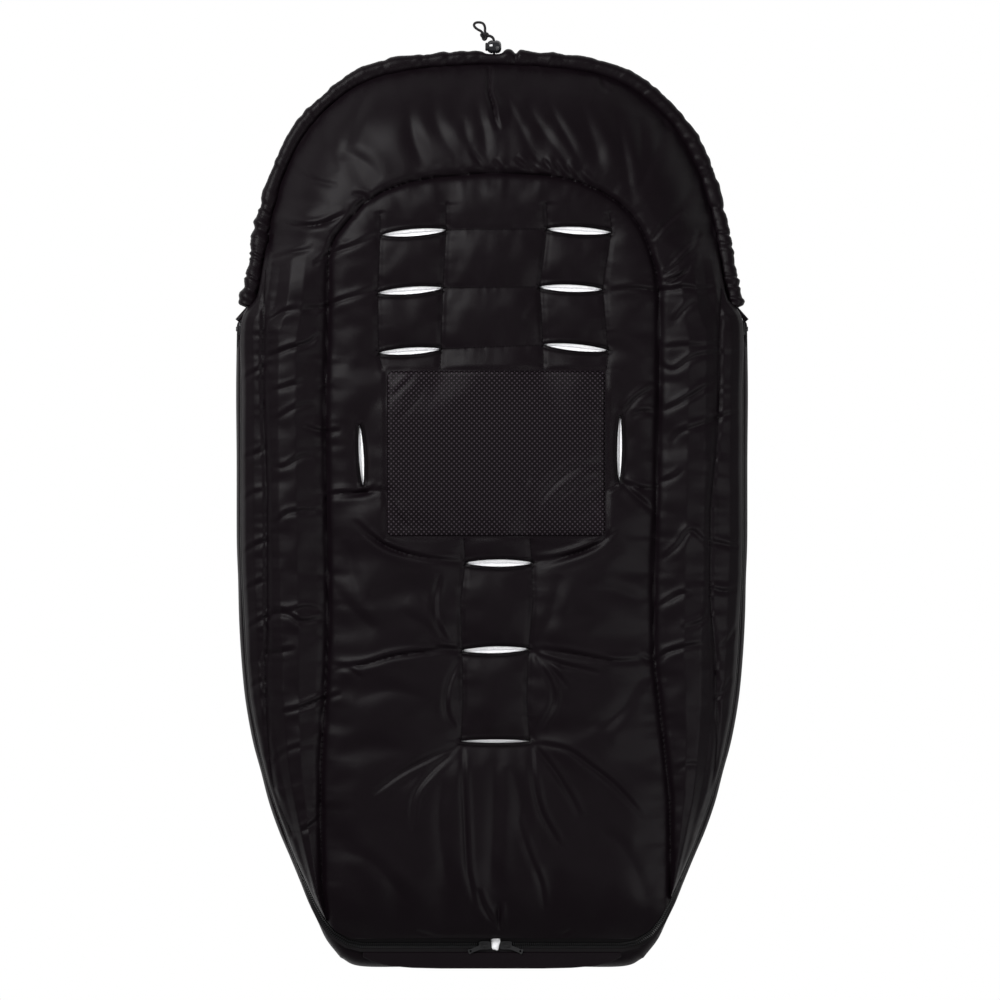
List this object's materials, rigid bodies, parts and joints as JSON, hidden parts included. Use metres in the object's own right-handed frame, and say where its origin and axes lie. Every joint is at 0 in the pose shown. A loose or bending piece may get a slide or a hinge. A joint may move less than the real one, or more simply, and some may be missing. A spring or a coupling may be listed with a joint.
{
  "type": "stroller footmuff",
  "caption": "Padded footmuff for a stroller: quilted back with harness slots and grip patch, zip-on front cover that opens at the foot, and a gathered hood with a drawcord and lock",
  "frame": {"origin": "middle of the bounding box at its lowest face, without the free cord end", "axes": "+Y to the head, +Z to the rear side that lies on the seat, +X to the right in the picture"},
  "size_m": [0.5128, 0.9489, 0.0668],
  "materials": {
    "shell_nylon": "soft woven nylon",
    "quilt_wadding": "polyester fibre wadding",
    "fleece_lining": "short pile fleece",
    "grip_patch": "cloth with raised rubber dots",
    "zip_tape": "woven tape",
    "zip_teeth": "moulded plastic teeth",
    "slider_paint": "black painted metal",
    "cord_braid": "braided elastic cord",
    "lock_plastic": "glossy moulded plastic",
    "spring_steel": "steel wire"
  },
  "bodies": {
    "back": {"back_centre_shell": "shell_nylon", "surround_shell": "shell_nylon", "gusset_left": "shell_nylon", "gusset_right": "shell_nylon", "hem_casing": "shell_nylon", "foot_strip": "shell_nylon", "shoulder_wadding_high": "quilt_wadding", "shoulder_wadding_middle": "quilt_wadding", "shoulder_wadding_low": "quilt_wadding", "seat_wadding": "quilt_wadding", "seat_wadding_left": "quilt_wadding", "seat_wadding_right": "quilt_wadding", "crotch_wadding_high": "quilt_wadding", "crotch_wadding_low": "quilt_wadding", "foot_wadding": "quilt_wadding", "hood_wadding": "quilt_wadding", "side_wadding_left": "quilt_wadding", "side_wadding_right": "quilt_wadding", "back_centre_lining": "fleece_lining", "surround_lining": "fleece_lining", "anti_slip_patch": "grip_patch", "back_zip_tape_left": "zip_tape", "back_zip_tape_right": "zip_tape", "foot_zip_tape_left": "zip_tape", "foot_zip_tape_right": "zip_tape", "back_zip_chain_left": "zip_teeth", "back_zip_chain_right": "zip_teeth", "foot_zip_chain_left": "zip_teeth", "foot_zip_chain_right": "zip_teeth", "zip_top_stop_left": "zip_teeth", "zip_top_stop_right": "zip_teeth", "zip_bottom_stop_left": "zip_teeth", "zip_bottom_stop_right": "zip_teeth", "cord_eyelet": "slider_paint", "drawcord_left": "cord_braid", "drawcord_right": "cord_braid", "cord_strand_low": "cord_braid", "cord_strand_high": "cord_braid", "cord_knot": "cord_braid", "cord_loop": "cord_braid"},
    "front_cover": {"cover_shell": "shell_nylon", "cover_wadding": "quilt_wadding", "cover_lining": "fleece_lining", "cover_top_binding": "shell_nylon", "cover_zip_tape_left": "zip_tape", "cover_zip_tape_right": "zip_tape", "cover_zip_chain_left": "zip_teeth", "cover_zip_chain_right": "zip_teeth"},
    "cord_lock": {"lock_barrel": "lock_plastic", "lock_spring": "spring_steel"},
    "lock_button": {"lock_button": "lock_plastic"},
    "lower_slider_right": {"lower_slider_right": "slider_paint"},
    "upper_slider_right": {"upper_slider_right": "slider_paint"},
    "lower_pull_right": {"lower_pull_right": "slider_paint"},
    "upper_pull_right": {"upper_pull_right": "slider_paint"},
    "lower_slider_left": {"lower_slider_left": "slider_paint"},
    "upper_slider_left": {"upper_slider_left": "slider_paint"},
    "lower_pull_left": {"lower_pull_left": "slider_paint"},
    "upper_pull_left": {"upper_pull_left": "slider_paint"}
  },
  "joints": [
    {"name": "front_cover_hinge", "type": "hinge", "parent": "back", "child": "front_cover", "pos_m": [0, -0.44249, 0.0165], "axis": [-1, 0, 0], "range_deg": [0, 180]},
    {"name": "lower_slider_right_slide", "type": "slide", "parent": "back", "child": "lower_slider_right", "axis": [1, 0, 0], "range_m": [0, 0.105]},
    {"name": "lower_pull_right_hinge", "type": "hinge", "parent": "lower_slider_right", "child": "lower_pull_right", "pos_m": [0.014, -0.43559, 0.0397], "axis": [-0.3746, -0.9272, 0], "range_deg": [0, 150]},
    {"name": "upper_slider_right_slide", "type": "slide", "parent": "back", "child": "upper_slider_right", "axis": [0, -1, 0], "range_m": [0, 0.195]},
    {"name": "upper_pull_right_hinge", "type": "hinge", "parent": "upper_slider_right", "child": "upper_pull_right", "pos_m": [0.25407, 0.18, 0.031], "axis": [0, 0, 1], "range_deg": [0, 150]},
    {"name": "lower_slider_left_slide", "type": "slide", "parent": "back", "child": "lower_slider_left", "axis": [-1, 0, 0], "range_m": [0, 0.105]},
    {"name": "lower_pull_left_hinge", "type": "hinge", "parent": "lower_slider_left", "child": "lower_pull_left", "pos_m": [-0.007, -0.43559, 0.0397], "axis": [-0.3746, 0.9272, 0], "range_deg": [0, 150]},
    {"name": "upper_slider_left_slide", "type": "slide", "parent": "back", "child": "upper_slider_left", "axis": [0, -1, 0], "range_m": [0, 0.195]},
    {"name": "upper_pull_left_hinge", "type": "hinge", "parent": "upper_slider_left", "child": "upper_pull_left", "pos_m": [-0.25407, 0.18, 0.031], "axis": [0, 0, -1], "range_deg": [0, 150]},
    {"name": "cord_lock_slide", "type": "slide", "parent": "back", "child": "cord_lock", "axis": [0, -1, 0], "range_m": [0, 0.0015]},
    {"name": "lock_button_slide", "type": "slide", "parent": "cord_lock", "child": "lock_button", "axis": [1, 0, 0], "range_m": [0, 0.0015], "stiffness_N_per_m": 400, "springref_m": -0.002}
  ]
}
